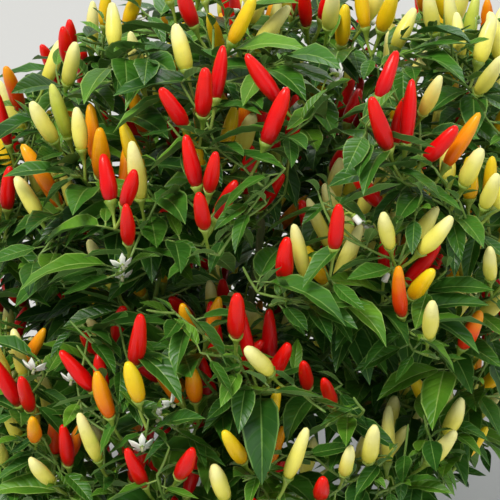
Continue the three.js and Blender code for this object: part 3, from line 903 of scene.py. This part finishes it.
def tube_on_curve(shape, curve, radius_at):
    """The shape's corners carried onto a curve. The radius follows the share of the way and the angle."""
    x, y, z = shape.verts.T
    ways = curve_direction(curve, z[:, None])
    middle, _, _ = frames_along(curve_direction(curve, 0.5))
    first = unit(middle - ways * (middle * ways).sum(1, keepdims=True))
    offsets = first * x[:, None] + np.cross(ways, first) * y[:, None]
    return curve_point(curve, z[:, None]) + offsets * radius_at(z, np.arctan2(y, x))[:, None]


def straight_twigs(shape, starts, ends, first_radii, last_radii):
    """Tubes from node to node, faintly bowed, that swell at both ends. The finest end in a pointed bud."""
    x, y, z = shape.verts.T
    starts, ends = np.asarray(starts)[:, None], np.asarray(ends)[:, None]
    first, second, _ = frames_along(ends - starts)
    radii = mix(np.asarray(first_radii)[:, None], np.asarray(last_radii)[:, None], z)
    swollen, budded = (np.interp(z, (0, *TWIG_CUTS, 1), sizes) for sizes in (SWOLLEN_END, BUDDED_END))
    swelling = np.where(np.asarray(last_radii)[:, None] <= SECOND_TWIG_RADII[1], budded, swollen)
    bow = norm(ends - starts, axis=2, keepdims=True) * TWIG_BOW * np.sin(math.pi * z)[:, None]
    offsets = first * x[:, None] + second * y[:, None]
    return mix(starts, ends, z[:, None]) + offsets * (radii * swelling)[..., None] + second * bow


def carried_leaf(shape, leaf):
    x, y, z = shape.verts.T
    spot, across, upwards = leaf_frame(leaf, y)
    blade, side = blade_share(y), np.abs(x)
    half = np.maximum(half_width(leaf, y), PETIOLE_HALF)
    ripple = np.sin(math.tau * (2.6 * y + leaf.wave + 0.2 * np.sign(x))) * side * np.sin(math.pi * blade)
    lift = side * half * math.sin(leaf.fold) * (1 - LEAF_CURL * side) + ripple * leaf.length * LEAF_RIPPLE
    petiole = np.where(side < 0.1, PETIOLE_HALF, PETIOLE_HALF * 0.8)
    rib = np.where((z < 0) & (side < 0.1), 0.5 * (1 - blade), 0)
    thick = z * np.where(blade > 0, BLADE_HALF_THICKNESS + rib, petiole)
    return spot + across * (x * half * math.cos(leaf.fold))[:, None] + upwards * (lift + thick)[:, None]


def around_line(fruit, distances, x, y, radius):
    across = fruit.side * x[:, None] + np.cross(fruit.along, fruit.side) * y[:, None]
    return fruit_line(fruit, distances, STALK_BOW) + across * radius[:, None]


def carried_fruit(shape, fruit):
    x, y, z = shape.verts.T
    angle = np.arctan2(y, x)
    lumps = 1 + FRUIT_LUMPS * (np.sin(3 * angle + fruit.lobe) + np.sin(9 * z + 2 * angle + fruit.lobe * 2))
    radius = np.interp(z, BALL_SHARES, FRUIT_PROFILE) * fruit.radius * lumps
    return around_line(fruit, fruit.stalk + z * fruit.length, x, y, radius)


def carried_stalk(shape, fruit):
    """A stalk that widens into a shallow toothed cup, whose rim lies on the fruit."""
    x, y, z = shape.verts.T
    stalk, full = fruit.stalk, fruit.radius
    marks = (0, *STALK_CUTS, 1)
    cup = (stalk - 7, stalk - 4.2, stalk - 1.6, stalk + 1.6, stalk + 1.4)
    along = np.interp(z, marks, (0, 1.2, stalk / 2, *cup))
    wide = np.interp(z, marks, (1.4, 1.15, 1.05, 1.4, 1.95, full * 0.5, full * 0.66 + 0.55, full * 0.5))
    along = along + CALYX_TOOTH * np.cos(5 * np.arctan2(y, x)) * (np.abs(z - STALK_CUTS[-1]) < 0.01)
    return around_line(fruit, along, x, y, wide)


def turned_to(shape, spot, facing, scale):
    """The shape's corners scaled, with +z turned to `facing`, at a spot."""
    first, second, way = frames_along(facing)
    x, y, z = (shape.verts * scale).T[:, :, None]
    return spot + first * x + second * y + way * z


# Finishes: each is worked out from the piece's own pattern places and from where it stands


def lay(tree, kind, *inputs, **settings):
    """Lays down one node. Its inputs, numbers, colours or other nodes' outlets, go in its sockets' order."""
    node = tree.nodes.new("ShaderNode" + kind)
    for key, value in settings.items():
        setattr(node, key, value)
    for socket, value in zip(node.inputs, inputs):
        if isinstance(value, bpy.types.NodeSocket):
            tree.links.new(value, socket)
        elif value is not None:
            socket.default_value = value
    return node.outputs[0]


def sums(tree, operation, *inputs):
    return lay(tree, "Math", *inputs, operation=operation)


def ramp(tree, value, low, high, first=0.0, last=1.0):
    """Runs smoothly from first to last while the value goes from low to high."""
    return lay(tree, "MapRange", value, low, high, first, last, interpolation_type="SMOOTHSTEP")


def tinted(tree, share, first, second):
    node = tree.nodes.new("ShaderNodeMix")
    node.data_type = "RGBA"
    for socket, value in zip((node.inputs[0], node.inputs[6], node.inputs[7]), (share, first, second)):
        if isinstance(value, bpy.types.NodeSocket):
            tree.links.new(value, socket)
        else:
            socket.default_value = (*value, 1) if isinstance(value, tuple) else value
    return node.outputs[2]


def mottling(tree, scale, detail=2, stretch=(1, 1, 1)):
    spots = lay(tree, "TexCoord").node.outputs["Object"]
    spots = lay(tree, "VectorMath", spots, stretch, operation="MULTIPLY")
    return lay(tree, "TexNoise", spots, None, scale, detail, 0.55)


def pattern_places(tree):
    node = lay(tree, "SeparateXYZ", lay(tree, "UVMap", uv_map="places")).node
    return node.outputs[0], node.outputs[1]


def finish(name, skin_of, depth, roughness, **gloss):
    """A material: skin_of lays the nodes and gives colour and relief, and depth is the relief's in mm."""
    material = bpy.data.materials.new(name)
    material.use_nodes = True
    tree = material.node_tree
    skin = tree.nodes["Principled BSDF"]
    colour, relief = skin_of(tree)
    bump = lay(tree, "Bump")
    bump.node.inputs["Strength"].default_value = 1
    bump.node.inputs["Distance"].default_value = depth * MM
    tree.links.new(relief, bump.node.inputs["Height"])
    tree.links.new(colour, skin.inputs["Base Color"])
    tree.links.new(bump, skin.inputs["Normal"])
    for key, value in {"Roughness": roughness, **gloss}.items():
        skin.inputs[key].default_value = value
    return material


def leaf_marks(tree):
    """How much of midrib and stalk, of side vein, and of painted highlight along the rim there is at a place
    of a leaf.
    """
    across, along = pattern_places(tree)
    side = sums(tree, "ABSOLUTE", sums(tree, "MULTIPLY_ADD", across, 2.0, -1.0))
    midrib = ramp(tree, side, 0.02, 0.07, 0.8, 0.0)
    stalk = ramp(tree, along, PETIOLE_SHARE - 0.01, PETIOLE_SHARE + 0.03, 1.0, 0.0)
    veins, slant = (sums(tree, "MULTIPLY", *pair) for pair in ((along, VEINS), (side, VEIN_SLANT)))
    vein = sums(tree, "PINGPONG", sums(tree, "SUBTRACT", veins, slant), 0.5)
    # The last share is a painted highlight: a thin pale line along the leaf's rim, where light catches the
    # edge.
    return sums(tree, "MAXIMUM", midrib, stalk), vein, ramp(tree, side, 0.87, 0.94, 0.0, 0.65)


def leaf_finish(name, deep, bright, pale, roughness):
    def skin(tree):
        midrib, vein, rim = leaf_marks(tree)
        blade = tinted(tree, ramp(tree, mottling(tree, *LEAF_PATCHES), 0.35, 0.65), deep, bright)
        blade = tinted(tree, ramp(tree, mottling(tree, *LEAF_SPECKS), 0.4, 0.75, 0.0, 0.35), blade, deep)
        # Veins and midrib take the leaf's own pale colour. Along the rim the same pale is a painted
        # highlight.
        for share in (ramp(tree, vein, 0.0, 0.07, 0.08, 0.0), rim, midrib):
            blade = tinted(tree, share, blade, pale)
        grain = sums(tree, "MULTIPLY", mottling(tree, *LEAF_GRAIN), 0.35)
        return blade, sums(tree, "ADD", ramp(tree, vein, 0.0, 0.3), grain)

    return finish(name, skin, LEAF_QUILT, roughness, **{"Specular IOR Level": 0.35})


def fruit_finish(name, roughness, root, middle, tip):
    """The colour goes from root to middle to tip, with soft uneven borders."""

    def skin(tree):
        uneven = sums(tree, "MULTIPLY_ADD", mottling(tree, *FRUIT_PATCHES), 0.5, -0.25)
        along = sums(tree, "ADD", pattern_places(tree)[1], uneven)
        body = tinted(tree, ramp(tree, along, 0.0, 0.45), root, middle)
        body = tinted(tree, ramp(tree, along, 0.45, 0.95), body, tip)
        darker = tuple(c * 0.7 for c in middle)
        specks = ramp(tree, mottling(tree, *FRUIT_SPECKS), 0.5, 0.8, 0.0, 0.35)
        return tinted(tree, specks, body, darker), mottling(tree, *FRUIT_GRAIN)

    gloss = {"Specular IOR Level": 0.3, "Coat Weight": 0.08, "Coat Roughness": 0.1}
    return finish(name, skin, 0.4, roughness, **gloss)


def stem_finish(name, first, second, crack, roughness, depth):
    """Green skin, or bark, with marks that run lengthwise."""

    def skin(tree):
        cracks = mottling(tree, *STEM_CRACKS)
        smooth = tinted(tree, ramp(tree, mottling(tree, *STEM_PATCHES), 0.35, 0.65), first, second)
        return tinted(tree, ramp(tree, cracks, 0.52, 0.72, 0.0, 0.7), smooth, crack), cracks

    return finish(name, skin, depth, roughness)


def plain_finish(name, first, second, scale, roughness):
    """Two near tones in soft patches."""

    def skin(tree):
        patches = ramp(tree, mottling(tree, scale, 2), 0.35, 0.65)
        return tinted(tree, patches, first, second), mottling(tree, scale * 4, 2)

    return finish(name, skin, 0.15, roughness)


STEM_TONES = {
    "bark": ((0.27, 0.25, 0.11), (0.17, 0.22, 0.07), (0.40, 0.35, 0.20), 0.72, 0.5),
    "green_stem": ((0.13, 0.25, 0.035), (0.20, 0.33, 0.055), (0.34, 0.42, 0.13), 0.48, 0.15),
    "stalk_green": ((0.20, 0.32, 0.03), (0.30, 0.42, 0.05), (0.44, 0.50, 0.12), 0.45, 0.1),
}
# Each green: deep and bright patches, the pale of veins and midrib, which also paints the highlight along the
# rim, and roughness.
LEAF_TONES = {
    "leaf_old": ((0.015, 0.067, 0.007), (0.032, 0.120, 0.011), (0.17, 0.31, 0.065), 0.34),
    "leaf_grown": ((0.026, 0.104, 0.009), (0.054, 0.18, 0.014), (0.22, 0.37, 0.08), 0.36),
    "leaf_young": ((0.065, 0.19, 0.012), (0.13, 0.31, 0.020), (0.33, 0.49, 0.11), 0.40),
    "leaf_back": ((0.08, 0.19, 0.034), (0.13, 0.26, 0.055), (0.28, 0.41, 0.13), 0.55),
}
bark, green_stem, stalk_green = (stem_finish(name, *tones) for name, tones in STEM_TONES.items())
leaf_greens = [leaf_finish(name, *tones) for name, tones in LEAF_TONES.items()]
petal_white = plain_finish("petal_white", (0.86, 0.87, 0.80), (0.78, 0.81, 0.66), 300, 0.5)
flower_heart = plain_finish("flower_heart", (0.40, 0.42, 0.16), (0.24, 0.26, 0.20), 900, 0.6)


# The pieces


def taper(radii, shares):
    """The limb's radius by share of its way, with its swollen, rounded end at the fork."""
    rise = np.clip((shares - 0.86) / 0.1, 0, 1)
    swelling = 1 + 0.22 * rise**2 * (3 - 2 * rise) - 0.5 * np.maximum(0, shares - 0.97) / 0.03
    return mix(*radii, shares) * swelling


def limb_piece(limb, shape, finish, ribs, rib_depth, flare=0):
    """A stem or bough with ribs that wind a little, shallow cracks between them, and old leaf scars."""
    phase = sum(limb.tip) % 7

    def radius(shares, angle):
        winding = angle * ribs + 1.6 * np.sin(shares * 5 + phase)
        ridges = rib_depth * (np.abs(np.cos(winding / 2)) - 0.6)
        grain = rib_depth * 0.35 * np.sin(angle * ribs * 3 + shares * 17 + phase)
        scars = 0.09 * np.exp(-(((shares * SCARS_ON_LIMB + phase) % 1 - 0.5) / 0.09) ** 2) * (shares < 0.9)
        foot = flare * np.maximum(0, 1 - shares / FLARE_SHARE) ** 2
        spread = 1 + 0.35 * np.cos(angle * 4 + 0.6) * np.maximum(0, 1 - shares / 0.14)
        return (taper(limb.radii, shares) + foot * spread) * (1 + ridges + grain + scars)

    points = tube_on_curve(shape, limb.curve, radius)
    if flare:
        points[:, 2] = np.maximum(points[:, 2], 0)
    joined(limb.name + "_skin", shape, points[None], [finish], replaced=[limb.name])


def make_limbs(limbs):
    stem_shape = tube_shape(24, [k / 44 for k in range(1, 44)])
    bough_shape = tube_shape(16, [k / 30 for k in range(1, 30)] + [0.985])
    limb_piece(limbs[0], stem_shape, bark, 5, 0.1, FLARE_RADIUS)
    for limb in limbs[1:]:
        finish, slot = (green_stem, "green_stem") if "side" in limb.name else (bark, "bark")
        limb_piece(limb, bough_shape, finish, 4, 0.08)


def make_twigs(masses):
    twig = tube_shape(8, (*TWIG_CUTS[:2], 0.5, *TWIG_CUTS[2:]))
    starts, ends, first, last = [], [], [], []

    def add(a, b, radii):
        starts.append(a), ends.append(b), first.append(radii[0]), last.append(radii[1])

    for mass in masses:
        for i, chain in enumerate(mass.twigs):
            chain = chain[3:] if i == 0 else chain
            stretches = list(zip(chain, chain[1:]))
            for (a, b), radii in zip(reversed(stretches), (SECOND_TWIG_RADII, FIRST_TWIG_RADII)):
                add(a, b, radii)
        for a, b in mass.fine_twigs:
            add(a, b, FINE_TWIG_RADII)
    joined("twigs", twig, straight_twigs(twig, starts, ends, first, last), [green_stem])
    stem = tube_shape(10, [k / 10 for k in range(1, 10)] + [0.98])
    curved = [tube_on_curve(stem, mass.stem, lambda z, angle: mix(*SPRAY_STEM_RADII, z)) for mass in masses]
    joined("spray_stems", stem, curved, [green_stem])


def green_of(leaf):
    """0 for an old leaf, 1 for a grown one, 2 for a young one, which stand at the top and the tips."""
    height = leaf.root[2] / CROWN_TOP
    youth = leaf.tone * 0.75 + 0.18 * leaf.level / 3 + 0.4 * max(0, height - 0.6)
    return 0 if youth < 0.36 else 1 if youth < 0.8 else 2


def make_leaves(masses):
    leaf = leaf_shape()
    for mass in masses:
        points = [carried_leaf(leaf, each) for each in mass.leaves]
        kinds = [green_of(each) for each in mass.leaves]
        name = mass.name.replace("foliage", "leaves")
        joined(name, leaf, points, leaf_greens, kinds, [mass.name])


def stage_of(fruit):
    """Fruit reddens first inside the crown and on three of its sides, in bands that lean with height. It is
    palest at the top and on the finest twigs."""
    roll = draws(int(fruit.root @ (7919, 3571, 1237)) % 99991)
    across, deep, height = fruit.root - (CROWN_SHIFT, 0, 0)
    edge = math.hypot(across, deep) / CROWN_RADIUS
    turned = math.degrees(math.atan2(deep, across)) + 90 - BAND_LEAN * (height - BAND_MIDDLE)
    band = math.cos(3 * math.radians(turned)) * min(1, 1.5 * edge)
    ripeness = RIPENESS[fruit.level] + BAND_STRENGTH * band - EDGE_PALENESS * edge
    ripeness += RIPENESS_SPREAD * (roll() - 0.5)
    ripeness -= TOP_PALENESS * max(0, height - 300) / 100
    return next(stage for stage, (least, *_) in STAGES.items() if ripeness > least)


def make_fruit(masses):
    ball, stalk = ball_shape(10, 8), tube_shape(8, STALK_CUTS)
    fruits = [fruit for mass in masses for fruit in mass.fruits]
    stages = {}
    for fruit in fruits:
        fruit.lobe = fruit.root.sum() % math.tau
        stages.setdefault(stage_of(fruit), []).append(fruit)
    for stage, group in stages.items():
        _, slot, *look = STAGES[stage]
        joined(stage, ball, [carried_fruit(ball, fruit) for fruit in group], [fruit_finish(*look)])
    joined("fruit_stalks", stalk, [carried_stalk(stalk, fruit) for fruit in fruits], [stalk_green])


def make_blossom(masses):
    flower, ball, stalk = flower_shape(), ball_shape(8, 6), tube_shape(6, (0.2, 0.4, 0.6, 0.8))
    blossoms = [each for mass in masses for each in mass.blossoms]
    hooks = [tube_on_curve(stalk, each.curve, lambda z, angle: mix(0.6, 0.95, z)) for each in blossoms]
    joined("flower_stalks", stalk, hooks, [stalk_green])

    def add(name, shape, group, ahead, size_of, finish, slot):
        points = [turned_to(shape, e.curve[2] + e.facing * ahead, e.facing, size_of(e)) for e in group]
        joined(name, shape, points, [finish])

    opened = [each for each in blossoms if each.open]
    closed = [each for each in blossoms if not each.open]
    add("flower_cups", ball, blossoms, 0, lambda e: BLOSSOM_SIZES["flower_cups"], stalk_green, "stalk")
    add("petals", flower, opened, 3.4, lambda e: [mix(*FLOWER_RADII, e.size)] * 3, petal_white, "petal")
    add("flower_hearts", ball, opened, 3.4, lambda e: BLOSSOM_SIZES["flower_hearts"], flower_heart, "petal")
    add("buds", ball, closed, 1.5, lambda e: (BUD_SIZES[0], BUD_SIZES[0], mix(*BUD_SIZES[1], e.size)),
        petal_white, "petal")


# The stage


def make_stage():
    bm = bmesh.new()
    bmesh.ops.create_grid(bm, x_segments=1, y_segments=1, size=FLOOR_SIZE / 2)
    mesh = bpy.data.meshes.new("floor")
    bm.to_mesh(mesh)
    bm.free()
    mesh.materials.append(plain_finish("floor_grey", FLOOR_TONE, FLOOR_TONE, 3, 0.8))
    floor = put("floor", mesh)
    world = bpy.data.worlds.new("studio")
    world.use_nodes = True
    world.node_tree.nodes["Background"].inputs[0].default_value = (*SKY_TONE, 1)
    world.node_tree.nodes["Background"].inputs[1].default_value = SKY_STRENGTH
    bpy.context.scene.world = world
    bpy.context.scene.view_settings.view_transform = "Standard"


def look_along(thing, spot, target):
    thing.location = spot
    way = Vector(target) - Vector(spot)
    thing.rotation_euler = way.to_track_quat("-Z", "Y").to_euler()


def make_lights():
    for name, (spot, width, power, tone) in LIGHTS.items():
        light = bpy.data.lights.new(name, "SUN")
        light.angle, light.energy, light.color = math.radians(width), power, tone
        look_along(put(name, light), spot, (0, 0, 0))


def make_camera():
    data = bpy.data.cameras.new("camera")
    data.lens, data.sensor_width, data.clip_end = CAMERA_LENS, SENSOR_WIDTH, 50
    rise = math.radians(CAMERA_RISE)
    target = np.array(CAMERA_TARGET)
    spot = target + CAMERA_DISTANCE * np.array([0, -math.cos(rise), math.sin(rise)])
    camera = put("camera", data)
    look_along(camera, spot, target)
    bpy.context.scene.camera = camera


limbs, masses = plan_plant()
grow_finer(masses, limbs)
make_limbs(limbs)
make_twigs(masses)
make_leaves(masses)
make_fruit(masses)
make_blossom(masses)
make_stage()
make_lights()
make_camera()
